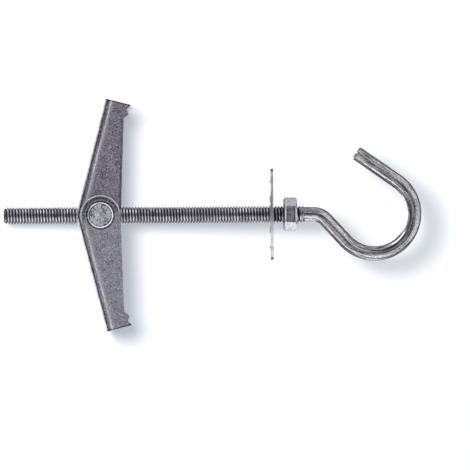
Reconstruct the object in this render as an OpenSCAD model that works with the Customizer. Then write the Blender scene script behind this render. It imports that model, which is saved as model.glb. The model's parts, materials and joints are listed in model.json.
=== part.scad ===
// Spring toggle bolt with a hook: a hook bolt, a hex nut and a washer for the near side of a
// hollow wall, and a sprung pair of folding wings on a cross nut for its far side.
// Millimetres, +Z up. The bolt lies on the ground as it comes to rest, on the rim of its
// washer and on the lower head of the cross nut, so its hook end points slightly upwards.
// The origin is on the ground, under the middle of the whole part's length and width.

/* [Hook bolt] */
// Outside diameter of the thread
thread_d = 3.9; // [3.6:0.05:4.2]
// Distance from one ridge of the thread to the next
thread_pitch = 0.7; // [0.5:0.05:0.8]
// Length of the threaded stretch
thread_length = 70.7; // [64.4:0.7:88.9]
// Chamfer on the free end of the thread
thread_chamfer = 0.5; // [0.2:0.05:0.9]
// Diameter of the plain wire that the hook is bent from
wire_d = 3.35; // [2.8:0.05:3.6]
// Inside radius of the hook
hook_inside_r = 7.65; // [6:0.05:9]
// From the end of the thread to the centre of the hook
hook_reach = 16.4; // [15.6:0.1:24]
// Angle that the neck turns through between the shank and the hook
neck_angle = 47.5; // [40:0.5:60]
// Centreline radius of the neck bend
neck_bend_r = 4; // [1.9:0.1:6]
// Where the round part of the hook ends, counted from the bolt's axis
hook_end_angle = 55; // [35:1:75]
// Length of the straight end of the hook
hook_tip_length = 11.75; // [6:0.25:16]
// Chamfer round the cut end of the hook
tip_chamfer = 0.35; // [0.1:0.05:0.6]

/* [Hex nut] */
// Width of the nut across its flats
nut_across_flats = 6.9; // [6.4:0.1:8]
// Thickness of the nut
nut_thickness = 3.2; // [2.2:0.1:4]
// From the nut to the end of the thread
nut_setback = 1.8; // [0.5:0.1:4]

/* [Washer] */
// Outside diameter of the washer
washer_d = 21.4; // [18:0.2:26]
// Thickness of the washer's sheet
washer_t = 0.6; // [0.5:0.05:1.2]
// Open thread between the washer and the nut
washer_gap = 2.4; // [0.5:0.1:5]
// Diameter of the raised hub on the wall side
hub_d = 8.6; // [7.6:0.1:10]
// Height of the raised hub and of the pips beside it
hub_rise = 0.25; // [0.1:0.05:0.4]
// Diameter of the two pips that stop the washer turning
pip_d = 0.9; // [0.6:0.1:1.4]
// From the middle of the washer to each pip
pip_radius = 7.7; // [6.6:0.1:8.2]

/* [Wings] */
// Thickness of the wings' sheet steel
sheet_t = 0.7; // [0.5:0.05:0.8]
// Length of a wing's web, measured along it
wing_length = 28.25; // [22:0.05:32]
// From the web's outer face to the pivot
pivot_depth = 5.58; // [5.2:0.02:6]
// Half of the width over the two outer ears
ears_half_width = 5.6; // [5.4:0.05:6.4]
// Outside radius of the bends between web and flanges
bend_r = 1.8; // [1.4:0.05:1.9]
// Radius of the outer ear round the pivot
ear_r = 4.68; // [4.4:0.02:4.8]
// Radius of the inner ear, which turns inside the other wing's bend
inner_ear_r = 4.3; // [4:0.05:4.35]
// Angle between a flange's free edge and its web
taper_angle = 12.6; // [11:0.1:13.5]
// Lean of the open wings from square, tips towards the hook
open_lean = 14.5; // [10:0.5:20]
// Teeth at the tip of each flange
tooth_count = 2; // [1:1:3]
// Distance between two teeth
tooth_pitch = 2.15; // [1.6:0.05:2.4]
// From the web's outer face to the tips of the teeth
tooth_reach = 6; // [5.6:0.05:6.6]
// Depth of the valley between two teeth
tooth_depth = 0.75; // [0.4:0.05:1]

/* [Cross nut] */
// Diameter of the cross nut, which is the wings' pivot
pivot_d = 5.7; // [5.3:0.05:6]
// Diameter of its peened heads
head_d = 6.1; // [6.05:0.05:6.6]
// Radius of the rolled rim round each head
rim_r = 0.18; // [0.1:0.01:0.24]
// Diameter of the countersink round each head, in the outer ear
seat_d = 7.1; // [6.8:0.1:7.6]
// Depth of that countersink
seat_depth = 0.3; // [0.1:0.05:0.4]

/* [Spring] */
// Diameter of the spring wire
spring_wire_d = 0.5; // [0.35:0.05:0.5]
// How far along its web each leg of the spring reaches
leg_reach = 9; // [6:0.5:14]
// Angle at which the spring's bridge passes the bolt
bridge_angle = 75; // [65:1:95]

/* [Fits] */
// Radial clearance of the nuts on the thread
thread_clearance = 0.05; // [0.02:0.01:0.1]
// Radial clearance of the wings on the cross nut
pivot_clearance = 0.05; // [0.02:0.01:0.1]
// Radial clearance of the washer on the thread
washer_clearance = 0.35; // [0.2:0.05:0.6]
// Side play between an outer ear and the inner ear beside it
ear_gap = 0.45; // [0.4:0.05:0.6]
// Play between an outer ear and the head over it
head_play = 0.05; // [0.02:0.01:0.15]
// Clearance of the spring from what it lies beside
spring_clearance = 0.1; // [0.05:0.01:0.15]
// Clearance of the notch in the web round the bolt
notch_clearance = 0.55; // [0.5:0.05:0.8]
// Gap between the wings' ends, which stop each other when open
stop_gap = 0.1; // [0.05:0.01:0.2]
// From the free end of the thread to the pivot of the wings
toggle_position = 22.75; // [12:0.25:26]

/* [Hidden] */
$fn = 96;

BOLT_ZINC = [0.47, 0.46, 0.50];
WING_ZINC = [0.43, 0.41, 0.45];
NUT_ZINC = [0.58, 0.59, 0.63];
WASHER_ZINC = [0.70, 0.71, 0.74];
PIVOT_ZINC = [0.60, 0.62, 0.66];
SPRING_STEEL = [0.32, 0.32, 0.34];

SKIN = 0.02; // overlap of shapes that are joined or cut
MARGIN = 1; // how far a cut or a trimmed blank starts outside the metal
HEAD_FILL = 1.2; // height of a head's flat middle, over the radius of its rim

thread_r = thread_d / 2;
wire_r = wire_d / 2;
pivot_r = pivot_d / 2;
head_r = head_d / 2;
washer_r = washer_d / 2;
spring_r = spring_wire_d / 2;

// Places along the bolt's axis, counted from the pivot towards the hook
thread_start = -toggle_position;
thread_end = thread_start + thread_length;
nut_start = thread_end - nut_setback - nut_thickness;
washer_start = nut_start - washer_gap - washer_t;
hook_centre = thread_end + hook_reach;
hook_r = hook_inside_r + wire_r;
neck_corner = hook_centre - hook_r / sin(neck_angle);
neck_tangent = neck_bend_r * tan(neck_angle / 2);
neck_straight = hook_r / tan(neck_angle) - neck_tangent;
runout = 0.4; // bare length between the last ridge and the wire
lap = 0.1; // straights run this far into the bends, a hair slimmer, so that they join cleanly
straight_r = wire_r - lap / 10;

// Each ridge has flanks at 60 degrees to each other, a narrow crest and a root twice as wide
crest_flat = thread_pitch / 8;
root_flat = thread_pitch / 4;
root_r = thread_r - (thread_pitch - crest_flat - root_flat) / 2 / tan(30);
ridge_count = floor((thread_length - runout) / thread_pitch);

// The bolt lies in the bottom of the washer's wide hole, a hair clear of it
washer_lift = washer_clearance - SKIN;
washer_drop = washer_r - washer_lift;

// Widths across the pair of wings: an outer ear, then the other wing's inner ear
inner_half_width = ears_half_width - sheet_t - ear_gap;
spring_outer_z = inner_half_width - sheet_t - spring_clearance - spring_r;
spring_inner_z = thread_r + spring_clearance + spring_r;
wing_end = wing_length - pivot_depth * tan(open_lean);
hole_r = pivot_r + pivot_clearance;
head_base = ears_half_width + head_play;

// How the part lies: on the rim of the washer and on the rolled rim of the lower head, or on
// the lower bend of a wing where that reaches lower
function tilt_over(back, down, round_r) =
    let (run = washer_start + back, drop = washer_drop - down)
    acos(round_r / norm([run, drop])) - atan2(run, drop);
tilt_on_head = tilt_over(head_r - rim_r, head_base + rim_r, rim_r);
tilt_on_wing = tilt_over((pivot_depth - bend_r) * cos(open_lean), ears_half_width - bend_r, bend_r);
tilt = min(tilt_on_head, tilt_on_wing);
rest_height = washer_drop * cos(tilt) - washer_start * sin(tilt);
low_x = thread_start * cos(tilt) - (thread_r - thread_chamfer) * sin(tilt);
high_x = (hook_centre + hook_r) * cos(tilt) + wire_r;

// From the bolt's frame (pivot at the origin, axis along +X) to the ground
module at_rest()
    translate([-(low_x + high_x) / 2, 0, rest_height])
        rotate([0, -tilt, 0])
            children();

// Lays a shape that stands on +Z along the bolt's axis instead
module along_bolt(start = 0)
    translate([start, 0, 0])
        rotate([0, 90, 0])
            children();

// A bent stretch of wire about the origin, from one angle to another
module wire_bend(radius, from, to)
    rotate([0, 0, from])
        rotate_extrude(angle = to - from)
            translate([radius, 0])
                circle(r = wire_r);

// ---- Hook bolt

// The thread is a row of rings, turned down by the chamfer at the bolt's free end
function ridge(start) = [
    [root_r, start + root_flat / 2],
    [thread_r, start + (thread_pitch - crest_flat) / 2],
    [thread_r, start + (thread_pitch + crest_flat) / 2],
    [root_r, start + thread_pitch - root_flat / 2]
];
function chamfered(point) = [min(point[0], thread_r - thread_chamfer + point[1]), point[1]];

module threaded_stretch()
    along_bolt(thread_start)
        rotate_extrude()
            polygon(concat(
                [[0, 0], chamfered([root_r, 0])],
                [for (i = [0:ridge_count - 1], point = ridge(i * thread_pitch)) chamfered(point)],
                [[wire_r, thread_length - 2 * lap], [wire_r, thread_length], [0, thread_length]]
            ));

// A straight stretch of wire along +Z, which laps into the bends at its ends
module straight_wire(length)
    translate([0, 0, -lap])
        cylinder(h = length + 2 * lap, r = straight_r);

module hook_neck() {
    along_bolt(thread_end)
        straight_wire(neck_corner - neck_tangent - thread_end);
    translate([neck_corner - neck_tangent, -neck_bend_r, 0])
        wire_bend(neck_bend_r, 90 - neck_angle, 90);
    translate([neck_corner, 0, 0])
        rotate([0, 0, -neck_angle])
            along_bolt(neck_tangent)
                straight_wire(neck_straight);
}

module hook_tip()
    rotate([0, 0, hook_end_angle])
        translate([hook_r, 0, 0])
            rotate([-90, 0, 0])
                rotate_extrude()
                    polygon([
                        [0, -lap],
                        [straight_r, -lap],
                        [straight_r, hook_tip_length - tip_chamfer],
                        [straight_r - tip_chamfer, hook_tip_length],
                        [0, hook_tip_length]
                    ]);

module hook_bolt()
    color(BOLT_ZINC)
        at_rest() {
            threaded_stretch();
            hook_neck();
            translate([hook_centre, 0, 0]) {
                wire_bend(hook_r, -90 - neck_angle, hook_end_angle);
                hook_tip();
            }
        }

// ---- Hex nut

// A hexagonal blank whose corners are turned down at both faces
module nut_blank() {
    corner_r = nut_across_flats / sqrt(3);
    face_r = nut_across_flats / 2 - SKIN;
    turn = (corner_r - face_r) * tan(30);
    intersection() {
        rotate([0, 0, 30])
            cylinder(h = nut_thickness, r = corner_r, $fn = 6);
        rotate_extrude()
            polygon([
                [0, 0],
                [face_r, 0],
                [corner_r, turn],
                [corner_r, nut_thickness - turn],
                [face_r, nut_thickness],
                [0, nut_thickness]
            ]);
    }
}

module hex_nut() {
    bore_r = thread_r + thread_clearance;
    sink = 0.3;
    color(NUT_ZINC)
        at_rest()
            along_bolt(nut_start)
                difference() {
                    nut_blank();
                    translate([0, 0, -SKIN])
                        cylinder(h = nut_thickness + 2 * SKIN, r = bore_r);
                    translate([0, 0, -SKIN])
                        cylinder(h = sink + SKIN, r1 = bore_r + sink + SKIN, r2 = bore_r);
                    translate([0, 0, nut_thickness - sink])
                        cylinder(h = sink + SKIN, r1 = bore_r, r2 = bore_r + sink + SKIN);
                }
}

// ---- Washer

// The hub is pressed towards the wall, which leaves a shallow recess under the nut
module washer() {
    hub_wall = 1.1;
    pip_top_d = pip_d / 2;
    color(WASHER_ZINC)
        at_rest()
            translate([0, 0, washer_lift])
                along_bolt(washer_start)
                    difference() {
                        union() {
                            cylinder(h = washer_t, r = washer_r);
                            translate([0, 0, -hub_rise])
                                cylinder(h = hub_rise + SKIN, d = hub_d);
                            for (side = [-1, 1])
                                translate([0, side * pip_radius, -hub_rise])
                                    cylinder(h = hub_rise + SKIN, d1 = pip_top_d, d2 = pip_d);
                        }
                        translate([0, 0, -hub_rise - MARGIN])
                            cylinder(h = hub_rise + washer_t + 2 * MARGIN, r = thread_r + washer_clearance);
                        translate([0, 0, washer_t - hub_rise])
                            cylinder(h = washer_t, r = hub_d / 2 - hub_wall);
                    }
}

// ---- Cross nut

// A rolled rim stands round the flat middle of each head
module peened_head()
    rotate_extrude() {
        square([head_r - rim_r, HEAD_FILL * rim_r]);
        translate([head_r - rim_r, rim_r])
            circle(r = rim_r);
    }

module trunnion_nut()
    color(PIVOT_ZINC)
        at_rest()
            difference() {
                union() {
                    translate([0, 0, -head_base])
                        cylinder(h = 2 * head_base, r = pivot_r);
                    for (side = [0, 1])
                        mirror([0, 0, side])
                            translate([0, 0, head_base])
                                peened_head();
                }
                along_bolt(-pivot_r - MARGIN)
                    cylinder(h = pivot_d + 2 * MARGIN, r = thread_r + thread_clearance);
            }

// ---- Wings
// A wing's own frame has the pivot at the origin, the web along +Y and its outer face at
// -pivot_depth. Both wings are one stamping. Its outer ear is at -Z and its inner ear at +Z.

// A U that is open towards +X, with its back at x and rounded corners there
module rounded_u(x, low, high, r) {
    depth = ear_r + MARGIN - x;
    translate([x + r, low])
        square([depth, high - low]);
    translate([x, low + r])
        square([depth, high - low - 2 * r]);
    for (z = [low + r, high - r])
        translate([x + r, z])
            circle(r = r);
}

module channel_section()
    difference() {
        rounded_u(-pivot_depth, -ears_half_width, inner_half_width, bend_r);
        rounded_u(-pivot_depth + sheet_t, -ears_half_width + sheet_t, inner_half_width - sheet_t,
            bend_r - sheet_t);
    }

// Points of the toothed edge, from the tip of the wing inwards
function tooth_tip(i) = [tooth_reach - pivot_depth, wing_end - i * tooth_pitch];
function tooth_edge(i) = i == tooth_count - 1
    ? [tooth_tip(i)]
    : concat([tooth_tip(i), tooth_tip(i) - [tooth_depth, tooth_pitch / 2]], tooth_edge(i + 1));
// Where the flank of the innermost tooth meets the tapered edge of a flange
function edge_point(ear, y) = [(ear - y * sin(taper_angle)) / cos(taper_angle), y];
function tooth_root(ear) =
    let (
        flank = 2 * tooth_depth / tooth_pitch,
        last = tooth_tip(tooth_count - 1)
    )
    edge_point(ear, (ear / cos(taper_angle) - last[0] + last[1] * flank) / (flank + tan(taper_angle)));

// Side view of a flange: a round ear, a free edge tangent to it that tapers to the teeth, and
// an end that stops against the other wing in the plane of the bolt's axis
module flange_outline(ear) {
    back = -pivot_depth - MARGIN;
    stop = stop_gap / 2 / cos(open_lean);
    tangent = ear * [cos(taper_angle), sin(taper_angle)];
    circle(r = ear);
    polygon(concat(
        [
            [back, back * tan(open_lean) + stop],
            [0, stop],
            tangent,
            tooth_root(ear)
        ],
        [for (i = [2 * tooth_count - 2:-1:0]) tooth_edge(0)[i]],
        [[back, wing_end]]
    ));
}

module wing() {
    side = ears_half_width + MARGIN;
    difference() {
        intersection() {
            translate([0, wing_end + MARGIN, 0])
                rotate([90, 0, 0])
                    linear_extrude(wing_end + ear_r + 2 * MARGIN)
                        channel_section();
            union() {
                translate([0, 0, -side])
                    linear_extrude(side)
                        flange_outline(ear_r);
                linear_extrude(side)
                    flange_outline(inner_ear_r);
            }
        }
        translate([0, 0, -side])
            cylinder(h = 2 * side, r = hole_r);
        translate([0, 0, -ears_half_width - SKIN])
            cylinder(h = seat_depth + SKIN, r1 = seat_d / 2, r2 = hole_r);
        translate([0, -pivot_depth * tan(open_lean), 0])
            along_bolt(-pivot_depth - MARGIN)
                cylinder(h = sheet_t + 2 * MARGIN, r = thread_r + notch_clearance);
    }
}

module left_wing()
    color(WING_ZINC)
        at_rest()
            rotate([0, 0, -open_lean])
                wing();

module right_wing()
    color(WING_ZINC)
        at_rest()
            rotate([180, 0, 0])
                rotate([0, 0, -open_lean])
                    wing();

// ---- Spring
// One wire: a leg under the left wing's web, a coil below the bolt, a bridge past the bolt, a
// coil above it and a leg under the right wing's web. Each station of the path is
// [point, normal], with the normal square to the wire and away from the pivot.

coil_r = pivot_r + spring_clearance + spring_r;
leg_gap = 0.03; // sliver between the end of a leg and the web it presses on
leg_depth = pivot_depth - sheet_t - leg_gap - spring_r;
leg_slope = atan2(leg_depth, leg_reach) - asin(coil_r / norm([leg_reach, leg_depth]));
leg_length = sqrt(pow(leg_reach, 2) + pow(leg_depth, 2) - pow(coil_r, 2));
leg_angle = 180 - open_lean + leg_slope;
corner_r = 0.6; // bend from a coil into the bridge
corner_sweep = corner_r / coil_r * 180 / PI;
TURNS = 720; // two turns, so that angles rise all the way along the wire
COIL_STEPS = 36;
CORNER_STEPS = 5;
WIRE_SIDES = 10;

function on_coil(angle, z) = [
    [coil_r * cos(angle), coil_r * sin(angle), z],
    [cos(angle), sin(angle), 0]
];
function leg_end(angle, z, way) = [
    on_coil(angle, z)[0] + way * leg_length * [-sin(angle), cos(angle), 0],
    on_coil(angle, z)[1]
];
// From the leg's tangent point to the bridge, the long way round on the bolt's lower side
function lower_coil() =
    let (start = leg_angle - TURNS, end = bridge_angle - corner_sweep)
    [for (i = [0:COIL_STEPS])
        on_coil(start + (end - start) * i / COIL_STEPS,
            -spring_outer_z + (spring_outer_z - spring_inner_z) * i / COIL_STEPS)];
function upper_coil() =
    let (start = bridge_angle + corner_sweep, end = TURNS - leg_angle)
    [for (i = [0:COIL_STEPS])
        on_coil(start + (end - start) * i / COIL_STEPS,
            spring_inner_z + (spring_outer_z - spring_inner_z) * i / COIL_STEPS)];
function lower_corner() = [for (i = [1:CORNER_STEPS])
    let (a = 90 * i / CORNER_STEPS)
    on_coil(bridge_angle - corner_sweep * (1 - sin(a)), -spring_inner_z + corner_r * (1 - cos(a)))];
function upper_corner() = [for (i = [0:CORNER_STEPS - 1])
    let (a = 90 * i / CORNER_STEPS)
    on_coil(bridge_angle + corner_sweep * (1 - cos(a)), spring_inner_z - corner_r * (1 - sin(a)))];
spring_path = concat(
    [leg_end(leg_angle - TURNS, -spring_outer_z, -1)],
    lower_coil(),
    lower_corner(),
    upper_corner(),
    upper_coil(),
    [leg_end(TURNS - leg_angle, spring_outer_z, 1)]
);

// A round wire swept along stations of [point, normal]
function unit(v) = v / norm(v);
function heading(path, i) =
    unit(path[min(i + 1, len(path) - 1)][0] - path[max(i - 1, 0)][0]);
function ring(path, i) =
    let (n = path[i][1], b = unit(cross(heading(path, i), n)))
    [for (k = [0:WIRE_SIDES - 1])
        let (a = 360 * k / WIRE_SIDES)
        path[i][0] + spring_r * (cos(a) * n + sin(a) * b)];
module swept_wire(path) {
    rings = len(path);
    points = [for (i = [0:rings - 1]) each ring(path, i)];
    side_faces = [for (i = [0:rings - 2], k = [0:WIRE_SIDES - 1])
        let (
            a = i * WIRE_SIDES + k,
            b = i * WIRE_SIDES + (k + 1) % WIRE_SIDES
        )
        each [[a, b, b + WIRE_SIDES], [a, b + WIRE_SIDES, a + WIRE_SIDES]]];
    start_face = [[for (k = [WIRE_SIDES - 1:-1:0]) k]];
    end_face = [[for (k = [0:WIRE_SIDES - 1]) (rings - 1) * WIRE_SIDES + k]];
    polyhedron(points = points, faces = concat(start_face, side_faces, end_face));
}

module wing_spring()
    color(SPRING_STEEL)
        at_rest()
            swept_wire(spring_path);

hook_bolt();
hex_nut();
washer();
trunnion_nut();
left_wing();
right_wing();
wing_spring();
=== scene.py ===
import json
from math import cos, pi, radians, sin, tan

import bmesh
import bpy
from mathutils import Matrix, Vector

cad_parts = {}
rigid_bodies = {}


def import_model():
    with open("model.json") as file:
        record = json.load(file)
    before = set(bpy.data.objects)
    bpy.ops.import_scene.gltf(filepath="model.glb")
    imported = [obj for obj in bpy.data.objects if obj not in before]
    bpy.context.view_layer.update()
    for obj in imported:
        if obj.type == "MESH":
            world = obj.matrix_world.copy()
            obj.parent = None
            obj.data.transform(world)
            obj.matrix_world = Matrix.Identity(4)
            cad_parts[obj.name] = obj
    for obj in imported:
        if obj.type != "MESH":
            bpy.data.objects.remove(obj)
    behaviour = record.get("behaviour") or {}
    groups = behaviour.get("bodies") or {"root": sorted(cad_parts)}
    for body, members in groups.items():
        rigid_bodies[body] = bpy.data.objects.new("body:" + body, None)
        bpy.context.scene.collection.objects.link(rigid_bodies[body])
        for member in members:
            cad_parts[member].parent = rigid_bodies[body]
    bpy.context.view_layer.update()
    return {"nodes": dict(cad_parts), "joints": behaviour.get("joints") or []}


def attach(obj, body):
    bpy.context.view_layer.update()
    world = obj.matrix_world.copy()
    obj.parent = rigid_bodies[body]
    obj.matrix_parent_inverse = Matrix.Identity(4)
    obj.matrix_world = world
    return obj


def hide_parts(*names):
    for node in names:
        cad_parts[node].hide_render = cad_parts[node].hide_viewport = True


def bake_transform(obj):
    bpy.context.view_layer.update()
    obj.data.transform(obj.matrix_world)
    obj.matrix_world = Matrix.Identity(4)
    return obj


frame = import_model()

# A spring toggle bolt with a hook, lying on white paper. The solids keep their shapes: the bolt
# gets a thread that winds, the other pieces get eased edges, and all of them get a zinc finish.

MM = 0.001

# ---- Sizes in millimetres, in the bolt's frame: pivot at the origin, +X along the bolt to the
# hook, +Z square to the wings

THREAD_START = -22.75
THREAD_END = 47.95
THREAD_R = 1.95
THREAD_PITCH = 0.7
THREAD_CHAMFER = 0.5
# Half the angle between the thread's flanks, in degrees
FLANK_ANGLE = 30
CREST_FLAT = 0.16
ROOT_FLAT = 0.12
# How much lower the crest's two shoulders lie than its middle
CREST_EASE = 0.035
TURN_STEPS = 32
# Length over which the thread runs out into the wire
RUNOUT = 0.35

WIRE_R = 1.675
WIRE_SIDES = 48
# Rings along the wire's three straight runs: before the neck, after it, and at the hook's end
LEAD_STEPS = 3
SLOPE_STEPS = 4
TIP_STEPS = 6
# Length of the wire that reaches back into the thread, and how far below its surface the thread
# ends
WIRE_OVERLAP = 1.0
SKIN = 0.01
HOOK_CENTRE = 64.35
HOOK_R = 9.325
HOOK_STEPS = 64
NECK_ANGLE = 47.5
NECK_BEND_R = 4.0
NECK_STEPS = 12
HOOK_END_ANGLE = 55
HOOK_TIP_LENGTH = 11.75
TIP_CHAMFER = 0.35

NUT_START = 42.95
NUT_THICKNESS = 3.2
NUT_END = NUT_START + NUT_THICKNESS

WING_END = 26.81
PIVOT_DEPTH = 5.58
BEND_R = 1.8
EAR_R = 4.68
OPEN_LEAN = 14.5
HEAD_R = 3.05
HEAD_BASE = 5.65

# Widths of the eased edges
NUT_EASE = 0.20
WASHER_EASE = 0.06
PIVOT_EASE = 0.04
WING_EASE = 0.10

# Mesh clean-up: how near points are merged, in the copies and between the thread's turns, and, in
# degrees, how flat a face has to be and which edges are sharp enough to ease
MERGE_WITHIN = 0.002
THREAD_MERGE_WITHIN = 0.004
FLAT_WITHIN = 0.2
EASED_ANGLES = (30, 105)
# Cosine above which an edge counts as running a given way
SAME_WAY = 0.99

# A direction along which no two points of the bolt lie level, to sort them by
SORT_WAY = Vector((1.0, 0.0137, 0.00019))

# Angles in degrees from which an edge is shaded as a crease
CREASE_ANGLE = 35
THREAD_CREASE_ANGLE = 30
SPRING_CREASE_ANGLE = 50

# ---- Shades of zinc, dirt and bare steel, and of painted shade, shadow and highlight

# White zinc, also used for painted highlights
WHITE_ZINC_AND_HIGHLIGHT = (0.88, 0.90, 0.97, 1)
RUBBED_ZINC = (0.95, 0.95, 0.97, 1)
FULL_WHITE = (1, 1, 1, 1)
PORE_SHADE = (0.06, 0.055, 0.065, 1)
DRAWN_LINE_SHADE = (0.08, 0.08, 0.10, 1)
# Painted highlight and painted shade along the wings' bend, painted shade round the pivot heads,
# and the wings' painted dark outline
BEND_HIGHLIGHT = (0.88, 0.90, 1.0, 1)
BEND_PAINTED_SHADE = (0.03, 0.028, 0.04, 1)
EAR_PAINTED_SHADE = (0.05, 0.042, 0.06, 1)
OUTLINE_PAINTED_SHADE = (0.03, 0.03, 0.035, 1)
# Painted shade in the thread's roots, its painted shadow by the nut, and painted shade along its
# sides
ROOT_PAINTED_SHADE = (0.095, 0.082, 0.115, 1)
NUT_SHADOW_SHADE = (0.035, 0.028, 0.045, 1)
THREAD_SIDE_PAINTED_SHADE = (0.05, 0.045, 0.06, 1)
SCRATCH_SHADE = (0.04, 0.04, 0.05, 1)
# Painted shade inside the heads' rims
RIM_PAINTED_SHADE = (0.03, 0.03, 0.04, 1)
# Painted shade on the nut's washer side
NUT_PAINTED_SHADE = (0.03, 0.028, 0.035, 1)
NUT_STAIN_SHADE = (0.24, 0.21, 0.29, 1)
# Painted shade lines inside the nut's chamfers
NUT_LINE_PAINTED_SHADE = (0.03, 0.025, 0.04, 1)

# ---- The bolt's frame in the row, read from the joints' axes

joints = {j["name"]: j for j in frame["joints"]}
pivot = Vector(joints["left_fold"]["pos_m"])
along = -Vector(joints["nut_travel"]["axis"])
outward = Vector(joints["right_fold"]["axis"])
BOLT = Matrix((along, outward.cross(along), outward)).transposed().to_4x4()
BOLT.translation = pivot
TO_BOLT = BOLT.inverted()


# ---- Node helpers

def add_node(tree, kind, inputs=None, **settings):
    """A node with its settings, and its inputs as values or as sockets to link."""
    made = tree.nodes.new("ShaderNode" + kind)
    for name, value in settings.items():
        setattr(made, name, value)
    for name, value in (inputs or {}).items():
        socket = made.inputs[name]
        if isinstance(value, bpy.types.NodeSocket):
            tree.links.new(value, socket)
        else:
            socket.default_value = value
    return made


def new_group(name, inputs, outputs):
    """A node group: its tree, what it is given and where its results go."""
    tree = bpy.data.node_groups.new(name, "ShaderNodeTree")
    for label, kind, value in inputs:
        socket = tree.interface.new_socket(label, in_out="INPUT", socket_type="NodeSocket" + kind)
        if value is not None:
            socket.default_value = value
    for label, kind in outputs:
        tree.interface.new_socket(label, in_out="OUTPUT", socket_type="NodeSocket" + kind)
    return tree, tree.nodes.new("NodeGroupInput").outputs, tree.nodes.new("NodeGroupOutput").inputs


def math_node(tree, operation, a, b=0.0, clamp=False):
    return add_node(tree, "Math", {0: a, 1: b}, operation=operation, use_clamp=clamp).outputs[0]


def multiply(tree, a, b, clamp=False):
    return math_node(tree, "MULTIPLY", a, b, clamp)


def subtract(tree, a, b, clamp=False):
    return math_node(tree, "SUBTRACT", a, b, clamp)


def length_of(tree, a, b):
    """The length of a step of a one way and b square to it."""
    squares = math_node(tree, "ADD", multiply(tree, a, a), multiply(tree, b, b))
    return math_node(tree, "SQRT", squares)


def ramp(tree, value, low, high, out_low=0.0, out_high=1.0):
    """Maps low..high smoothly to out_low..out_high."""
    return add_node(tree, "MapRange", {
        "Value": value, "From Min": low, "From Max": high, "To Min": out_low, "To Max": out_high,
    }, interpolation_type="SMOOTHSTEP").outputs["Result"]


def mix_colour(tree, factor, a, b):
    """Colour a where the factor is 0 and b where it is 1."""
    return add_node(tree, "Mix", {0: factor, 6: a, 7: b}, data_type="RGBA").outputs[2]


def noise(tree, place, scale, detail=3.0, roughness=0.5, distortion=0.0):
    """Soft noise. Its scale is in lumps per metre."""
    return add_node(tree, "TexNoise", {
        "Vector": place, "Scale": scale, "Detail": detail, "Roughness": roughness,
        "Distortion": distortion,
    }).outputs["Fac"]


def parts_of(tree, vector):
    return add_node(tree, "SeparateXYZ", {0: vector}).outputs


def attribute(tree, name):
    return add_node(tree, "Attribute", attribute_name=name).outputs


def span(tree, value, low, high, out_low=0.0, out_high=1.0):
    """A ramp over a stretch given in mm."""
    return ramp(tree, value, low * MM, high * MM, out_low, out_high)


def band(tree, value, centre, half_width):
    """1 along a line at a distance in mm, fading to 0 on both sides of it."""
    away = math_node(tree, "ABSOLUTE", subtract(tree, value, centre * MM))
    return span(tree, away, 0.35 * half_width, half_width, 1.0, 0.0)


def broken(tree, mask, place, scale, low, high):
    """Breaks a mask up with soft noise, from low, where nothing of it is left, to high."""
    return multiply(tree, mask, ramp(tree, noise(tree, place, scale, 3.0, 0.7), low, high))


# ---- Surface effects that several finishes share

# Patches and pores for each crystal of the grain, and how far a contrast of 1 spreads the tone
PATCHES_PER_GRAIN = 0.14
PORES_PER_GRAIN = 0.8
TONE_SPREAD = 3.0


def build_zinc_grain():
    """Zinc crystals and pores: fine light and dark grain over slow patches."""
    tree, given, out = new_group("zinc_grain", [
        ("Vector", "Vector", None),
        ("Grain per m", "Float", 2500.0),
        ("Contrast", "Float", 1.0),
        ("Patchiness", "Float", 0.5),
        ("Pores", "Float", 0.5),
        ("Light", "Color", (0.7, 0.7, 0.7, 1)),
        ("Dark", "Color", (0.4, 0.4, 0.4, 1)),
    ], [("Color", "Color"), ("Tone", "Float"), ("Height", "Float")])
    place, grain = given["Vector"], given["Grain per m"]
    fine = noise(tree, place, grain, 3.0, 0.65)
    slow = noise(tree, place, multiply(tree, grain, PATCHES_PER_GRAIN), 3.0, 0.6, 0.4)
    pore = noise(tree, place, multiply(tree, grain, PORES_PER_GRAIN), 1.0)
    fine_part, slow_part = (
        multiply(tree, subtract(tree, pattern, 0.5), multiply(tree, given[strength], TONE_SPREAD))
        for pattern, strength in ((fine, "Contrast"), (slow, "Patchiness")))
    tone = math_node(tree, "ADD", math_node(tree, "ADD", fine_part, slow_part), 0.5, clamp=True)
    pits = multiply(tree, ramp(tree, pore, 0.60, 0.68), given["Pores"])
    colour = mix_colour(tree, tone, given["Dark"], given["Light"])
    colour = mix_colour(tree, pits, colour, PORE_SHADE)
    tree.links.new(colour, out["Color"])
    tree.links.new(tone, out["Tone"])
    tree.links.new(subtract(tree, tone, pits), out["Height"])
    return tree


def build_drawn_streaks():
    """Die lines along drawn metal. Its vector runs along the metal in X."""
    tree, given, out = new_group("drawn_streaks", [
        ("Vector", "Vector", None),
        ("Lines per m", "Float", 3000.0),
        ("Length", "Float", 20.0),
    ], [("Mask", "Float")])
    x, y, z = parts_of(tree, given["Vector"])
    squeezed = add_node(tree, "CombineXYZ", {
        0: math_node(tree, "DIVIDE", x, given["Length"]), 1: y, 2: z,
    }).outputs[0]
    tree.links.new(noise(tree, squeezed, given["Lines per m"], 4.0, 0.7), out["Mask"])
    return tree


def build_edge_wear():
    """Where an eased edge has rubbed bright, broken up so that no edge is worn evenly."""
    tree, given, out = new_group("edge_wear", [
        ("Edge", "Float", 0.0),
        ("Vector", "Vector", None),
        ("Amount", "Float", 0.7),
    ], [("Mask", "Float")])
    worn = broken(tree, ramp(tree, given["Edge"], 0.1, 0.9), given["Vector"], 700.0, 0.3, 0.55)
    tree.links.new(multiply(tree, worn, given["Amount"], clamp=True), out["Mask"])
    return tree


ZINC_GRAIN = build_zinc_grain()
DRAWN_STREAKS = build_drawn_streaks()
EDGE_WEAR = build_edge_wear()

# How much smoother rubbed plating is, and the depth of the grain in mm
WORN_SMOOTHER = 0.12
GRAIN_DEPTH = 0.02


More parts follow.
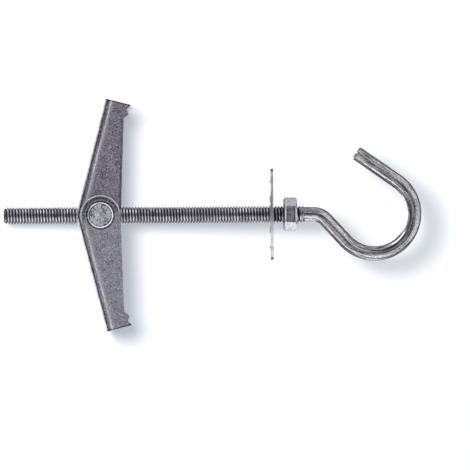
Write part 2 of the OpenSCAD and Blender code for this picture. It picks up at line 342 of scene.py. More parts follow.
def plated_steel(name, light, dark, grain, contrast=1.0, patchiness=0.5, pores=0.4,
                 smooth=0.28, rough=0.5, bump=0.5, place_attribute=None, streaks=0.0,
                 wear=0.6, wear_colour=RUBBED_ZINC, marks=None):
    """Zinc-plated steel. Patterns follow an attribute that lies along the metal, where given,
    and marks adds what only this piece shows: it takes a colour, and gives back a colour and
    a mask of where the surface turns white and dull, from white zinc and from painted highlights."""
    material = bpy.data.materials.new(name)
    material.use_nodes = True
    tree = material.node_tree
    tree.nodes.clear()
    if place_attribute:
        place = attribute(tree, place_attribute)["Vector"]
    else:
        place = add_node(tree, "TexCoord").outputs["Object"]
    zinc = add_node(tree, "Group", {
        "Vector": place, "Grain per m": grain, "Contrast": contrast, "Patchiness": patchiness,
        "Pores": pores, "Light": light, "Dark": dark,
    }, node_tree=ZINC_GRAIN).outputs
    colour, tone, height = zinc["Color"], zinc["Tone"], zinc["Height"]
    if streaks:
        lines = add_node(tree, "Group", {"Vector": place}, node_tree=DRAWN_STREAKS).outputs["Mask"]
        dark_line = multiply(tree, ramp(tree, lines, 0.40, 0.52, 1.0, 0.0), streaks)
        colour = mix_colour(tree, dark_line, colour, DRAWN_LINE_SHADE)
        height = math_node(tree, "ADD", height, multiply(tree, lines, 2.0 * streaks))
    edge = attribute(tree, "edge")["Fac"]
    worn = add_node(tree, "Group", {"Edge": edge, "Vector": place, "Amount": wear},
                    node_tree=EDGE_WEAR).outputs["Mask"]
    colour = mix_colour(tree, worn, colour, wear_colour)
    metallic = 1.0
    if marks:
        colour, white = marks(tree, place, colour)
        metallic = subtract(tree, 1.0, white)
    roughness = subtract(tree, ramp(tree, tone, 0.0, 1.0, rough, smooth),
                         multiply(tree, worn, WORN_SMOOTHER))
    normal = add_node(tree, "Bump", {
        "Height": height, "Strength": bump, "Distance": GRAIN_DEPTH * MM,
    }).outputs["Normal"]
    shader = add_node(tree, "BsdfPrincipled", {
        "Base Color": colour, "Metallic": metallic, "Roughness": roughness, "Normal": normal,
    })
    output = add_node(tree, "OutputMaterial")
    tree.links.new(shader.outputs[0], output.inputs["Surface"])
    return material


# ---- Marks that only one kind of piece shows, painted highlights and painted shade among them.
# Distances are in mm, strengths from 0 to 1

# White marks cover their colour sooner than they dull the metal
WHITE_COVERS = 1.6

# Where a mark is a line, its place is given with half its width. Where it begins or ends, the
# place is a stretch over which it does so

# Wing, by distance from the web's outer face: the painted highlight, the painted shade and the
# crease's painted highlight along the bend, the end of the painted highlight along the outer
# corner, and how far the lines wander
BEND_HIGHLIGHT_LINE = (1.50, 0.85)
BEND_PAINTED_SHADE_LINE = (0.54, 0.20)
CREASE_LINE = (BEND_R - 0.30, 0.28)
OUTER_HIGHLIGHT_END = (0.30, 0.42)
WANDER = 0.5

# Wing, by distance from the pivot: the painted highlight round the ear, the trace of the head, the
# painted shade on the seat under the head and on the ear's face, and where the crease's painted
# highlight begins
EAR_HIGHLIGHT_LINE = (EAR_R - 0.10, 0.20)
HEAD_TRACE = (3.60, 0.16)
SEAT_END = (4.0, 3.3)
EAR_END = (4.50, 4.15)
CREASE_START = (EAR_R - 0.3, EAR_R + 0.3)

# Wing, along it from the pivot: the ear's round half, and where the painted dark outline takes in
# the free edges, the teeth and the sheared tip
ROUND_HALF_END = (-0.6, 1.2)
FREE_EDGE_START = (0.5, 2.0)
TEETH_START = (20, 22)
TIP_START = (WING_END - 0.45, WING_END - 0.15)

# Thread, by radius: the painted shade in the roots, and the crests
ROOT_END = (1.60, 1.84)
CREST_START = (1.78, 1.91)
# Thread, along the bolt: the rod's end face, which stays lighter, and the painted shadow by the
# nut
END_FACE_END = (THREAD_START + 0.05, THREAD_START + 0.2)
NUT_SHADOW_START = (40.2, 40.7)
# Thread, by height: the side where the painted shadow is darkest. By distance beside the middle:
# the stripe of painted highlight on the crests, and the painted shade along the sides
NUT_SHADOW_TOP = (-0.5, 0.8)
HIGHLIGHT_STRIPE_START = (0.30, 0.80)
HIGHLIGHT_STRIPE_END = (1.40, 1.68)
SIDE_START = (1.62, 1.78)

# Head, by radius: the painted highlight on the rim, the painted shade line inside it, and the white
# patches
RIM_HIGHLIGHT_LINE = (HEAD_R - 0.19, 0.155)
RIM_PAINTED_SHADE_LINE = (HEAD_R - 0.42, 0.20)
PATCHES_END = (HEAD_R - 0.62, HEAD_R - 0.50)
# Head, along the bolt: the stretch where the rim's painted highlight is faint. By height: its face
RIM_FAINT_END = (-2.95, -2.0)
FACE_START = (HEAD_BASE, HEAD_BASE + 0.1)
# Sets of scratches by turn, lines per metre and darkness, and how much they are drawn out
SCRATCHES = ((0.1, 900.0, 0.85), (-1.0, 1200.0, 0.7), (0.7, 1500.0, 0.6))
SCRATCH_STRETCH = 0.16

# Nut, along the bolt: the painted highlight lines and painted shade lines across its upper and
# lower flat, and the painted shade on the washer's side. By distance beside the middle: where those
# two flats end
NUT_HIGHLIGHT_LINES = ((NUT_START + 0.52, 0.20), (NUT_END - 0.22, 0.20))
NUT_SHADE_LINES = ((NUT_END - 0.56, 0.18), (NUT_START + 0.86, 0.16))
NUT_SHADE_END = (NUT_START + 0.16, NUT_START + 0.34)
TOP_FLAT_END = (1.85, 2.05)


def whitened(tree, colour, white):
    """What a marks function gives back when white marks, white zinc and painted highlights, cover
    its colour.
    """
    cover = multiply(tree, white, WHITE_COVERS, clamp=True)
    return mix_colour(tree, cover, colour, WHITE_ZINC_AND_HIGHLIGHT), white


def wing_marks(tree, place, colour):
    """Painted highlights along the bend, round the ear and along the web's outer corner, painted
    shade along the bend and round the head, a painted dark outline at the sheared tip, the free
    edges and the teeth, white specks and the trace of the head. Its vector is measured along the
    wing, from the web's outer face, and across the pair."""
    out_along, from_web, _ = parts_of(tree, place)
    drift = noise(tree, place, 330.0, 2.0)
    wander = multiply(tree, subtract(tree, drift, 0.5), WANDER * MM)
    wobble = math_node(tree, "ADD", from_web, wander)
    # Painted highlight along the bend, and painted shade beside it
    bend_highlight = multiply(tree, band(tree, wobble, *BEND_HIGHLIGHT_LINE), 0.55)
    colour = mix_colour(tree, bend_highlight, colour, BEND_HIGHLIGHT)
    shadow = multiply(tree, band(tree, from_web, *BEND_PAINTED_SHADE_LINE), 0.85)
    colour = mix_colour(tree, shadow, colour, BEND_PAINTED_SHADE)

    # Painted shade on the seat under the head and on the ear's round half
    pivot_away = subtract(tree, from_web, PIVOT_DEPTH * MM)
    radius = length_of(tree, out_along, pivot_away)
    round_half = span(tree, out_along, *ROUND_HALF_END, 1.0, 0.0)
    seat_shade = multiply(tree, span(tree, radius, *SEAT_END), 0.6)
    ear_shade = multiply(tree, span(tree, radius, *EAR_END), round_half)
    seat_shade = math_node(tree, "MAXIMUM", seat_shade, multiply(tree, ear_shade, 0.80))
    colour = mix_colour(tree, seat_shade, colour, EAR_PAINTED_SHADE)

    # Painted shade: a dark outline at the sheared tip, the free edges and the teeth
    tip_outline = span(tree, out_along, *TIP_START)
    colour = mix_colour(tree, multiply(tree, tip_outline, 0.85), colour, OUTLINE_PAINTED_SHADE)
    edge_outline = multiply(tree, attribute(tree, "edge")["Fac"],
                         span(tree, out_along, *TEETH_START, 0.7, 1.0))
    edge_outline = multiply(tree, edge_outline, span(tree, out_along, *FREE_EDGE_START))
    colour = mix_colour(tree, edge_outline, colour, OUTLINE_PAINTED_SHADE)

    # Painted highlights on the crease, round the ear and along the outer corner; trace and specks
    strength = ramp(tree, drift, 0.3, 0.6, 0.14, 0.38)
    crease_highlight = multiply(tree, band(tree, wobble, *CREASE_LINE), strength)
    crease_highlight = broken(tree, crease_highlight, place, 1300.0, 0.20, 0.60)
    crease_highlight = multiply(tree, crease_highlight, span(tree, radius, *CREASE_START))
    ring = multiply(tree, multiply(tree, band(tree, radius, *EAR_HIGHLIGHT_LINE), round_half), 0.32)
    ring = broken(tree, ring, place, 300.0, 0.15, 0.50)
    trace = multiply(tree, band(tree, radius, *HEAD_TRACE), 0.16)
    specks = multiply(tree, ramp(tree, noise(tree, place, 2900.0, 2.0, 0.6), 0.54, 0.68), 0.26)
    corner = span(tree, from_web, *OUTER_HIGHLIGHT_END, 0.13, 0.0)
    white = crease_highlight
    for other in (ring, trace, specks, corner):
        white = math_node(tree, "MAXIMUM", white, other)
    return whitened(tree, colour, white)


def thread_marks(tree, place, colour):
    """Painted shade in the roots and along the sides, a painted shadow by the nut, and bright
    rolled crests, with a painted highlight that turns them white in stripes beside the middle.
    """
    x, y, z = parts_of(tree, place)
    radius = length_of(tree, y, z)
    sideways = math_node(tree, "ABSOLUTE", y)
    # Painted shade in the roots, lighter on the rod's end face
    end_face = span(tree, x, *END_FACE_END, 0.3, 1.0)
    root = multiply(tree, span(tree, radius, *ROOT_END, 0.92, 0.0), end_face)
    colour = mix_colour(tree, root, colour, ROOT_PAINTED_SHADE)
    # Painted shadow of the nut on the thread beside it
    nut_shadow = multiply(tree, span(tree, x, *NUT_SHADOW_START), span(tree, z, *NUT_SHADOW_TOP, 0.2, 0.85))
    nut_shadow = broken(tree, nut_shadow, place, 300.0, 0.20, 0.42)
    colour = mix_colour(tree, nut_shadow, colour, NUT_SHADOW_SHADE)
    crest = broken(tree, span(tree, radius, *CREST_START), place, 620.0, 0.35, 0.61)
    colour = mix_colour(tree, crest, colour, WHITE_ZINC_AND_HIGHLIGHT)
    # Painted shade along the rod's two sides
    painted_dark_side = span(tree, sideways, *SIDE_START, 0.0, 0.85)
    colour = mix_colour(tree, painted_dark_side, colour, THREAD_SIDE_PAINTED_SHADE)
    # Painted highlight: white stripes on the crests beside the middle, broken into glints
    highlight_stripe = multiply(tree, span(tree, sideways, *HIGHLIGHT_STRIPE_START),
                      span(tree, sideways, *HIGHLIGHT_STRIPE_END, 0.46, 0.0))
    glints = ramp(tree, noise(tree, place, 260.0, 2.0, 0.6), 0.38, 0.60, 0.0, 1.6)
    return colour, multiply(tree, crest, multiply(tree, highlight_stripe, glints))


def head_marks(tree, place, colour):
    """A painted highlight on the peened rim, fainter at one end, with a painted shade line inside
    it, white patches, and scratches across the heads' faces.
    """
    scratches = 0.0
    for turn, lines, dark in SCRATCHES:
        turned = add_node(tree, "Mapping", {
            "Vector": place, "Rotation": (0, 0, turn),
            "Scale": (1.0, SCRATCH_STRETCH, SCRATCH_STRETCH),
        }).outputs["Vector"]
        scratch = ramp(tree, noise(tree, turned, lines, 3.0, 0.6), 0.54, 0.62)
        scratch = broken(tree, scratch, place, 620.0, 0.42, 0.58)
        colour = mix_colour(tree, multiply(tree, scratch, dark), colour, SCRATCH_SHADE)
        scratches = math_node(tree, "ADD", scratches, scratch)
    x, y, z = parts_of(tree, attribute(tree, "own")["Vector"])
    radius = length_of(tree, x, y)
    # Painted shade line inside the rim
    inner_shade = broken(tree, band(tree, radius, *RIM_PAINTED_SHADE_LINE), place, 350.0, 0.30, 0.55)
    colour = mix_colour(tree, multiply(tree, inner_shade, 0.9), colour, RIM_PAINTED_SHADE)
    # Painted highlight on the rim, fainter at one end
    rim = multiply(tree, band(tree, radius, *RIM_HIGHLIGHT_LINE), span(tree, x, *RIM_FAINT_END, 0.25, 0.9))
    rim = broken(tree, rim, place, 240.0, 0.28, 0.50)
    patches = ramp(tree, noise(tree, place, 1100.0, 3.0, 0.65), 0.36, 0.64, 0.04, 0.30)
    patches = multiply(tree, patches, span(tree, radius, *PATCHES_END, 1.0, 0.0))
    patches = multiply(tree, patches, subtract(tree, 1.0, scratches, clamp=True))
    on_head = span(tree, math_node(tree, "ABSOLUTE", z), *FACE_START)
    white = multiply(tree, math_node(tree, "MAXIMUM", rim, patches), on_head)
    return mix_colour(tree, white, colour, WHITE_ZINC_AND_HIGHLIGHT), white


def nut_marks(tree, place, colour):
    """Painted shade in the chamfer on the washer's side, dark stains on the flats, and thin painted
    highlight and painted shade lines inside both chamfers.
    """
    on_bolt, y, _ = parts_of(tree, attribute(tree, "own")["Vector"])
    top_flats = span(tree, math_node(tree, "ABSOLUTE", y), *TOP_FLAT_END, 1.0, 0.0)

    def lines_at(lines, low):
        """Two broken lines across the upper and the lower flat."""
        first, second = (band(tree, on_bolt, *line) for line in lines)
        both = multiply(tree, math_node(tree, "MAXIMUM", first, second), top_flats)
        return broken(tree, both, place, 500.0, low, 0.5)

    # Painted shade in the chamfer on the washer's side
    washer_side_shade = span(tree, on_bolt, *NUT_SHADE_END, 0.92, 0.0)
    colour = mix_colour(tree, washer_side_shade, colour, NUT_PAINTED_SHADE)
    stain = broken(tree, multiply(tree, top_flats, 0.55), place, 1500.0, 0.40, 0.60)
    colour = mix_colour(tree, stain, colour, NUT_STAIN_SHADE)
    # Painted shade lines, then painted highlight lines, inside the chamfers
    dark = multiply(tree, lines_at(NUT_SHADE_LINES, 0.25), 0.75)
    colour = mix_colour(tree, dark, colour, NUT_LINE_PAINTED_SHADE)
    white = multiply(tree, lines_at(NUT_HIGHLIGHT_LINES, 0.15), 0.5)
    return whitened(tree, colour, white)


# ---- Piece helpers

def new_piece(name, bm, materials, body, slot, *stands_for):
    """A finished mesh in the row frame, riding on its body in place of its CAD node."""
    mesh = bpy.data.meshes.new(name)
    bm.to_mesh(mesh)
    bm.free()
    for material in materials:
        mesh.materials.append(material)
    piece = bpy.data.objects.new(name, mesh)
    bpy.context.scene.collection.objects.link(piece)
    if body:
        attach(piece, body)
    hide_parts(*stands_for)
    return piece


def smooth_by_angle(piece, angle):
    """Smooth faces with sharp creases."""
    for face in piece.data.polygons:
        face.use_smooth = True
    piece.data.set_sharp_from_angle(angle=radians(angle))


def keep_flats(piece):
    """Weights the normals so that flats stay flat beside eased edges."""
    weighted = piece.modifiers.new("weighted", "WEIGHTED_NORMAL")
    weighted.keep_sharp = True
    weighted.weight = 100


def merged_copy(node):
    """A node's loose triangles as one closed mesh with whole flats."""
    bm = bmesh.new()
    bm.from_mesh(frame["nodes"][node].data)
    bmesh.ops.remove_doubles(bm, verts=bm.verts, dist=MERGE_WITHIN * MM)
    bmesh.ops.dissolve_limit(bm, angle_limit=radians(FLAT_WITHIN), verts=bm.verts, edges=bm.edges)
    return bm


def ease_edges(bm, width, way=None):
    """Rounds the sharp edges, or only those that run one way, and marks the new strips in the
    attribute edge."""
    mark = bm.verts.layers.float.new("edge")
    low, high = (radians(angle) for angle in EASED_ANGLES)
    sharp = [e for e in bm.edges if e.is_manifold and low < e.calc_face_angle(0.0) < high]
    if way:
        sharp = [e for e in sharp
                 if abs((e.verts[1].co - e.verts[0].co).normalized().dot(way)) > SAME_WAY]
    made = bmesh.ops.bevel(bm, geom=sharp, offset=width * MM, offset_type="OFFSET", segments=2,
                           profile=0.5, affect="EDGES", clamp_overlap=False, material=-1)
    strips = set(made["faces"])
    for vert in made["verts"]:
        if vert.is_valid and all(f in strips for f in vert.link_faces):
            vert[mark] = 1.0


def eased_node(node, body, width, material, lay_out=None, kept_as="sheet", way=None):
    """A node with eased edges. The attribute kept_as holds where lay_out puts each point."""
    bm = merged_copy(node)
    ease_edges(bm, width, way)
    if lay_out:
        laid = bm.verts.layers.float_vector.new(kept_as)
        for vert in bm.verts:
            vert[laid] = lay_out @ vert.co
    piece = new_piece(node + "_eased", bm, [material], body, node, node)
    smooth_by_angle(piece, CREASE_ANGLE)
    keep_flats(piece)


def wing_layout(turn):
    """Row frame to a wing's own sheet: along the wing, from the web's outer face, and across.
    Turn is what turns the first wing into this one."""
    wing = turn @ Matrix.Rotation(radians(-OPEN_LEAN), 4, "Z")
    swap = Matrix(((0, 1, 0, 0), (1, 0, 0, PIVOT_DEPTH * MM), (0, 0, 1, 0), (0, 0, 0, 1)))
    return swap @ wing.inverted() @ TO_BOLT


# ---- Hook bolt

def thread_shell(bm):
    """A rolled thread: one turn of its ridge, doubled until it covers the bolt, cut to length."""
    root_r = THREAD_R - (THREAD_PITCH - CREST_FLAT - ROOT_FLAT) / 2 / tan(radians(FLANK_ANGLE))
    half_root, half_crest = ROOT_FLAT / 2, CREST_FLAT / 2
    middle = THREAD_PITCH / 2
    profile = [
        (0, root_r), (half_root, root_r), (middle - half_crest, THREAD_R - CREST_EASE),
        (middle - half_crest / 2, THREAD_R), (middle + half_crest / 2, THREAD_R),
        (middle + half_crest, THREAD_R - CREST_EASE), (THREAD_PITCH - half_root, root_r),
        (THREAD_PITCH, root_r),
    ]
    start = THREAD_START - 2 * THREAD_PITCH
    verts = [bm.verts.new((start + x, 0, r)) for x, r in profile]
    edges = [bm.edges.new(pair) for pair in zip(verts, verts[1:])]
    bmesh.ops.spin(bm, geom=verts + edges, cent=(0, 0, 0), axis=(1, 0, 0), angle=2 * pi,
                   steps=TURN_STEPS, dvec=(THREAD_PITCH / TURN_STEPS, 0, 0), use_duplicate=False)
    turns = 1
    while start + turns * THREAD_PITCH < THREAD_END + THREAD_PITCH:
        made = bmesh.ops.duplicate(bm, geom=bm.verts[:] + bm.edges[:] + bm.faces[:])
        again = [g for g in made["geom"] if isinstance(g, bmesh.types.BMVert)]
        bmesh.ops.translate(bm, verts=again, vec=(turns * THREAD_PITCH, 0, 0))
        turns *= 2
    bmesh.ops.remove_doubles(bm, verts=bm.verts, dist=THREAD_MERGE_WITHIN)
    for x, way in ((THREAD_START, -1), (THREAD_END, 1)):
        bmesh.ops.bisect_plane(bm, geom=bm.verts[:] + bm.edges[:] + bm.faces[:], plane_co=(x, 0, 0),
                               plane_no=(way, 0, 0), clear_outer=True)
    # The free end gets its chamfer, and the ridge runs out into the wire at the other end
    for vert in bm.verts:
        r = Vector((vert.co.y, vert.co.z)).length
        limit = THREAD_R - THREAD_CHAMFER + (vert.co.x - THREAD_START)
        fade = min(1.0, max(0.0, (THREAD_END - vert.co.x) / RUNOUT))
        wanted = min(r, limit) * fade + min(r, WIRE_R - SKIN) * (1 - fade)
        vert.co.y *= wanted / r
        vert.co.z *= wanted / r
    rims = [e for e in bm.edges if e.is_boundary]
    bmesh.ops.holes_fill(bm, edges=rims, sides=0)


def wire_shell(bm, mark):
    """Plain wire from inside the thread, round the neck and the hook, to its chamfered tip.
    The attribute straight keeps where each point lay before the wire was bent."""
    run = THREAD_END - WIRE_OVERLAP
    across = Matrix.Translation((run, 0, 0)) @ Matrix.Rotation(pi / 2, 4, "Y")
    first = bmesh.ops.create_circle(bm, cap_ends=False, segments=WIRE_SIDES, radius=WIRE_R,
                                    matrix=across)["verts"]
    for vert in first:
        vert[mark] = Vector((run, vert.co.y, vert.co.z))
    ring = first
    ring_edges = list(dict.fromkeys(e for v in ring for e in v.link_edges))

    def extend(move, length):
        """Adds one ring at the wire's end, moves it and notes how far along the wire it lies."""
        nonlocal run, ring, ring_edges
        out = bmesh.ops.extrude_edge_only(bm, edges=ring_edges)
        new = [g for g in out["geom"] if isinstance(g, bmesh.types.BMVert)]
        new_edges = [g for g in out["geom"] if isinstance(g, bmesh.types.BMEdge)
                     and all(v in new for v in g.verts)]
        move(new)
        run += length
        for vert in new:
            vert[mark] = Vector((run, vert[mark].y, vert[mark].z))
        ring, ring_edges = new, new_edges

    def push(direction, length, steps=1):
        step = Vector(direction) * length / steps
        for _ in range(steps):
            extend(lambda new: bmesh.ops.translate(bm, verts=new, vec=step), length / steps)

    def bend(centre, angle, radius, steps):
        """Turns the wire about +Z by an angle in degrees, one step at a time."""
        step = radians(angle / steps)
        turn = Matrix.Rotation(step, 3, "Z")
        for _ in range(steps):
            extend(lambda new: bmesh.ops.rotate(bm, verts=new, cent=centre, matrix=turn),
                   abs(step) * radius)

    corner = HOOK_CENTRE - HOOK_R / sin(radians(NECK_ANGLE))
    tangent = NECK_BEND_R * tan(radians(NECK_ANGLE / 2))
    straight = HOOK_R / tan(radians(NECK_ANGLE)) - tangent
    push((1, 0, 0), corner - tangent - run, LEAD_STEPS)
    bend((corner - tangent, -NECK_BEND_R, 0), -NECK_ANGLE, NECK_BEND_R, NECK_STEPS)
    slope = radians(-NECK_ANGLE)
    push((cos(slope), sin(slope), 0), straight, SLOPE_STEPS)
    bend((HOOK_CENTRE, 0, 0), NECK_ANGLE + 90 + HOOK_END_ANGLE, HOOK_R, HOOK_STEPS)
    end = radians(HOOK_END_ANGLE + 90)
    way = Vector((cos(end), sin(end), 0))
    push(way, HOOK_TIP_LENGTH - TIP_CHAMFER, TIP_STEPS)
    push(way, TIP_CHAMFER)
    middle = sum((v.co for v in ring), Vector()) / len(ring)
    share = (WIRE_R - TIP_CHAMFER) / WIRE_R
    for vert in ring:
        vert.co = middle + (vert.co - middle) * share
    for loop in (first, ring):
        bmesh.ops.contextual_create(bm, geom=loop)


def settle_order(bm):
    """Sorts points, edges and faces by place. Operators that add to a mesh can leave them in
    another order each time."""
    bm.verts.sort(key=lambda vert: vert.co.dot(SORT_WAY))
    bm.edges.sort(key=lambda edge: (edge.verts[0].co + edge.verts[1].co).dot(SORT_WAY))
    bm.faces.sort(key=lambda face: face.calc_center_median().dot(SORT_WAY))


def hook_bolt(thread_finish, wire_finish):
    """The thread and the bent wire, made in mm in the bolt's own frame, then laid in the row."""
    bm = bmesh.new()
    mark = bm.verts.layers.float_vector.new("straight")
    thread_shell(bm)
    for vert in bm.verts:
        vert[mark] = vert.co.copy()
    threaded = set(bm.faces)
    wire_shell(bm, mark)
    for face in bm.faces:
        face.material_index = 0 if face in threaded else 1
    bmesh.ops.recalc_face_normals(bm, faces=bm.faces)
    settle_order(bm)
    for vert in bm.verts:
        vert[mark] = vert[mark] * MM
    bmesh.ops.transform(bm, verts=bm.verts, matrix=BOLT @ Matrix.Scale(MM, 4))
    piece = new_piece("hook_bolt_threaded", bm, [thread_finish, wire_finish], "bolt",
                      "hook_bolt", "hook_bolt")
    smooth_by_angle(piece, THREAD_CREASE_ANGLE)
    keep_flats(piece)


# ---- Spring halves, one on each side of the cross nut

def spring_half(name, side, finish):
    """The spring's coil and leg on one side."""
    bm = merged_copy("wing_spring")
    cut = bmesh.ops.bisect_plane(bm, geom=bm.verts[:] + bm.edges[:] + bm.faces[:], plane_co=pivot,
                                 plane_no=-outward * side, clear_outer=True)
    rim = [g for g in cut["geom_cut"] if isinstance(g, bmesh.types.BMEdge)]
    bmesh.ops.holes_fill(bm, edges=rim, sides=0)
    piece = new_piece(name, bm, [finish], None, "wing_spring", "wing_spring")
    smooth_by_angle(piece, SPRING_CREASE_ANGLE)
    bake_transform(piece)


# ---- Finishes

WING_FINISH = dict(grain=3200, contrast=2.6, patchiness=0.7, pores=0.5, smooth=0.26, rough=0.42,
                   bump=0.7, place_attribute="sheet", wear=0.3, marks=wing_marks)
# A shaded and a lit copy of one finish: the right wing's is painted lighter than the left's
shaded_wing_zinc = plated_steel("shaded_wing_zinc", (0.695, 0.63, 0.755, 1), (0.25, 0.22, 0.29, 1),
                              **WING_FINISH)
lit_wing_zinc = plated_steel("lit_wing_zinc", (0.865, 0.845, 0.965, 1), (0.36, 0.34, 0.42, 1),
                               **WING_FINISH)
thread_zinc = plated_steel("thread_zinc", (0.90, 0.90, 0.94, 1), (0.38, 0.36, 0.42, 1), grain=3000,
                           place_attribute="straight", patchiness=0.9, pores=0.4,
                           smooth=0.10, rough=0.24, marks=thread_marks)
wire_zinc = plated_steel("wire_zinc", (1.0, 0.99, 1.0, 1), (0.53, 0.51, 0.61, 1), grain=3200,
                         contrast=1.9, patchiness=0.7, place_attribute="straight", streaks=1.0,
                         smooth=0.06, rough=0.17, bump=0.3)
nut_zinc = plated_steel("nut_zinc", (0.80, 0.83, 0.90, 1), (0.50, 0.48, 0.57, 1), grain=1900,
                        contrast=0.8, smooth=0.20, rough=0.26, bump=0.15, wear=1.0,
                        wear_colour=FULL_WHITE, marks=nut_marks)
washer_zinc = plated_steel("washer_zinc", (0.84, 0.85, 0.90, 1), (0.54, 0.54, 0.60, 1), grain=2400,
                           contrast=0.6, patchiness=0.5, pores=0.2, smooth=0.18, rough=0.26,
                           bump=0.2)
pivot_zinc = plated_steel("pivot_zinc", (0.90, 0.90, 0.95, 1), (0.34, 0.34, 0.42, 1), grain=2300,
                          contrast=2.6, patchiness=0.8, smooth=0.40, rough=0.62, wear=1.0,
                          wear_colour=FULL_WHITE, marks=head_marks)
spring_steel = plated_steel("spring_steel", (0.60, 0.60, 0.62, 1), (0.32, 0.32, 0.34, 1),
                            grain=4000)


# ---- Pieces

hook_bolt(thread_zinc, wire_zinc)
eased_node("hex_nut", "nut", NUT_EASE, nut_zinc, TO_BOLT, "own", way=along)
eased_node("washer", "washer", WASHER_EASE, washer_zinc)
eased_node("trunnion_nut", "trunnion", PIVOT_EASE, pivot_zinc, TO_BOLT, "own")
eased_node("left_wing", "left_wing", WING_EASE, shaded_wing_zinc, wing_layout(Matrix.Identity(4)))
eased_node("right_wing", "right_wing", WING_EASE, lit_wing_zinc,
           wing_layout(Matrix.Rotation(pi, 4, "X")))
spring_half("spring_upper", 1, spring_steel)
spring_half("spring_lower", -1, spring_steel)


# ---- Floor, light and camera

# What the camera takes in, in mm in the bolt's frame, and its turn in degrees
VIEW_WIDTH = 110.45
VIEW_CENTRE = (31.54, -4.82)
VIEW_DISTANCE = 2000.0
VIEW_ROLL = 0.3
SENSOR = 36.0

FLOOR_HALF_SIZE = 1.5
FLOOR_SHADE = (0.86, 0.865, 0.88, 1)

# Where the key light stands, as a direction in the bolt's frame, and its distance and size in m
KEY_TOWARDS = (-0.290, 0.206, 0.935)
KEY_DISTANCE = 0.9
KEY_SIZE = 0.38
KEY_POWER = 6.3
KEY_COLOUR = (1.0, 0.965, 0.94)

# The soft light all round, and the share of it that no piece shades
SOFT_SHADE = (0.590, 0.640, 0.685)
OPEN_SHARE = 0.55

# What the metal shows, from straight below (-1) over the horizon (0) to overhead (1)
BACKDROP = ((-1.0, 0.06), (-0.62, 0.12), (-0.40, 0.30), (-0.20, 0.56), (0.0, 0.66), (0.5, 0.70),
            (0.68, 0.66), (0.82, 0.50), (0.93, 0.27), (0.98, 0.18), (1.0, 0.27))
# Panels in front of it: direction in degrees from the hook's side, half width, lowest and
# highest edge, and shade. A later one covers an earlier one
PANELS = (
    (180, 34, -0.97, -0.45, 1.50),
    (180, 38, -0.15, 0.86, 0.07),
    (180, 60, 0.92, 0.985, 0.36),
    (128, 30, 0.34, 0.90, 0.16),
    (125, 22, 0.06, 0.26, 4.20),
    (90, 22, -0.35, 0.80, 0.36),
    (98, 16, -0.05, 0.35, 0.62),
    (90, 14, -0.75, -0.38, 0.72),
    (-135, 26, -0.30, 0.92, 0.30),
    (-122, 18, 0.30, 0.50, 2.30),
    (-85, 42, 0.76, 0.93, 0.70),
    (-132, 26, 0.86, 0.93, 0.58),
    (50, 22, 0.78, 0.93, 0.60),
    (-90, 28, 0.00, 0.78, 1.02),
    (-90, 14, -0.75, -0.25, 1.15),
)
# Width in degrees and height over which a panel's edges fade
PANEL_SOFTNESS = 14
PANEL_FADE = 0.05


def stage():
    """White paper under the part. The metal doesn't mirror it."""
    bm = bmesh.new()
    bmesh.ops.create_grid(bm, x_segments=1, y_segments=1, size=FLOOR_HALF_SIZE)
    mesh = bpy.data.meshes.new("floor")
    bm.to_mesh(mesh)
    bm.free()
    floor = bpy.data.objects.new("floor", mesh)
    bpy.context.scene.collection.objects.link(floor)
    paper = bpy.data.materials.new("floor_paper")
    paper.use_nodes = True
    shader = paper.node_tree.nodes["Principled BSDF"]
    shader.inputs["Base Color"].default_value = FLOOR_SHADE
    shader.inputs["Roughness"].default_value = 0.9
    shader.inputs["Specular IOR Level"].default_value = 0.0
    mesh.materials.append(paper)
    floor.visible_glossy = False


def vector_node(tree, operation, inputs):
    return add_node(tree, "VectorMath", inputs, operation=operation).outputs[0]


def dot(tree, vector, axis):
    made = add_node(tree, "VectorMath", {0: vector, 1: axis}, operation="DOT_PRODUCT")
    return made.outputs["Value"]


def backdrop(tree, overhead):
    """The backdrop's grey by height."""
    shown = add_node(tree, "ValToRGB", {
        "Fac": math_node(tree, "ADD", multiply(tree, overhead, 0.5), 0.5),
    })
    stops = shown.color_ramp.elements
    stops.remove(stops[0])
    for index, (height, grey) in enumerate(BACKDROP):
        stop = stops[0] if index == 0 else stops.new(height / 2 + 0.5)
        stop.position = height / 2 + 0.5
        stop.color = (grey, grey, grey, 1)
    return shown.outputs["Color"]


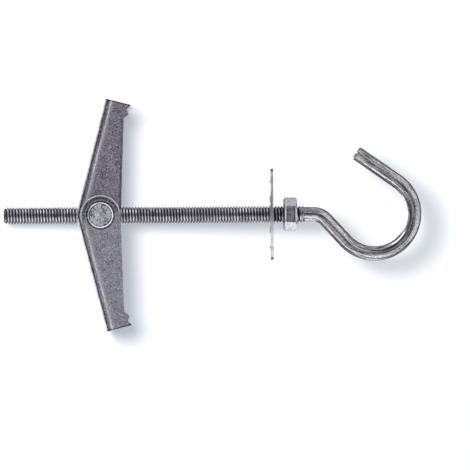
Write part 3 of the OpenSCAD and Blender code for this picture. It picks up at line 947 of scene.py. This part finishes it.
def studio_world():
    """Soft white all round. Metal shows a backdrop with light and dark panels instead."""
    world = bpy.data.worlds.new("studio")
    bpy.context.scene.world = world
    world.use_nodes = True
    tree = world.node_tree
    tree.nodes.clear()
    way = add_node(tree, "TexCoord").outputs["Generated"]
    overhead = dot(tree, way, outward)
    rise = vector_node(tree, "SCALE", {0: outward, "Scale": overhead})
    level = vector_node(tree, "NORMALIZE", {0: vector_node(tree, "SUBTRACT", {0: way, 1: rise})})
    heading = math_node(tree, "ARCTAN2", dot(tree, level, outward.cross(along)),
                        dot(tree, level, along))
    shade = backdrop(tree, overhead)
    for direction, half_width, lowest, highest, grey in PANELS:
        turned = subtract(tree, heading, radians(direction))
        wrapped = add_node(tree, "Math", {0: turned, 1: pi, 2: -pi}, operation="WRAP").outputs[0]
        across_it = ramp(tree, math_node(tree, "ABSOLUTE", wrapped),
                         radians(half_width - PANEL_SOFTNESS / 2),
                         radians(half_width + PANEL_SOFTNESS / 2), 1.0, 0.0)
        up_it = multiply(tree, ramp(tree, overhead, lowest - PANEL_FADE, lowest + PANEL_FADE),
                         ramp(tree, overhead, highest - PANEL_FADE, highest + PANEL_FADE, 1.0, 0.0))
        shade = mix_colour(tree, multiply(tree, across_it, up_it), shade, (grey, grey, grey, 1))
    panels = add_node(tree, "Background", {"Color": shade, "Strength": 1.0}).outputs[0]
    soft = add_node(tree, "Background", {
        "Color": (*SOFT_SHADE, 1), "Strength": 1 - OPEN_SHARE,
    }).outputs[0]
    rays = add_node(tree, "LightPath").outputs["Is Glossy Ray"]
    either = add_node(tree, "MixShader", {0: rays, 1: soft, 2: panels})
    output = add_node(tree, "OutputWorld")
    tree.links.new(either.outputs[0], output.inputs["Surface"])


def key_light(no_shadow):
    """A soft disk from the upper left. The named pieces cast no shadow from it."""
    data = bpy.data.lights.new("key", "AREA")
    data.shape = "DISK"
    data.size = KEY_SIZE
    data.energy = KEY_POWER
    data.color = KEY_COLOUR
    light = bpy.data.objects.new("key", data)
    towards = BOLT.to_3x3() @ Vector(KEY_TOWARDS)
    aimed_at = BOLT @ Vector((VIEW_CENTRE[0] * MM, VIEW_CENTRE[1] * MM, 0))
    light.location = aimed_at + towards * KEY_DISTANCE
    light.rotation_mode = "QUATERNION"
    light.rotation_quaternion = (-towards).to_track_quat("-Z", "Y")
    light.visible_glossy = False
    bpy.context.scene.collection.objects.link(light)
    casting = bpy.data.collections.new("casts_key_shadow")
    for piece in bpy.data.objects:
        if piece.type == "MESH" and piece.name not in no_shadow:
            casting.objects.link(piece)
    light.light_linking.blocker_collection = casting


def open_light():
    """The part of the soft light that reaches the floor everywhere, straight from above."""
    data = bpy.data.lights.new("open", "SUN")
    data.energy = pi * OPEN_SHARE
    data.color = SOFT_SHADE
    data.use_shadow = False
    light = bpy.data.objects.new("open", data)
    light.visible_glossy = False
    bpy.context.scene.collection.objects.link(light)


def square_camera():
    """Looks straight down on the wings and the hook, square to the plane that they share."""
    data = bpy.data.cameras.new("camera")
    data.sensor_width = SENSOR
    data.lens = SENSOR * VIEW_DISTANCE / VIEW_WIDTH
    data.clip_start, data.clip_end = 0.01, 10
    camera = bpy.data.objects.new("camera", data)
    place = Matrix.Translation((VIEW_CENTRE[0] * MM, VIEW_CENTRE[1] * MM, VIEW_DISTANCE * MM))
    camera.matrix_world = BOLT @ place @ Matrix.Rotation(radians(-VIEW_ROLL), 4, "Z")
    bpy.context.scene.collection.objects.link(camera)
    bpy.context.scene.camera = camera


stage()
studio_world()
key_light(no_shadow=("washer_eased", "hex_nut_eased"))
open_light()
square_camera()
view = bpy.context.scene.view_settings
view.view_transform = "Standard"
view.look = "None"
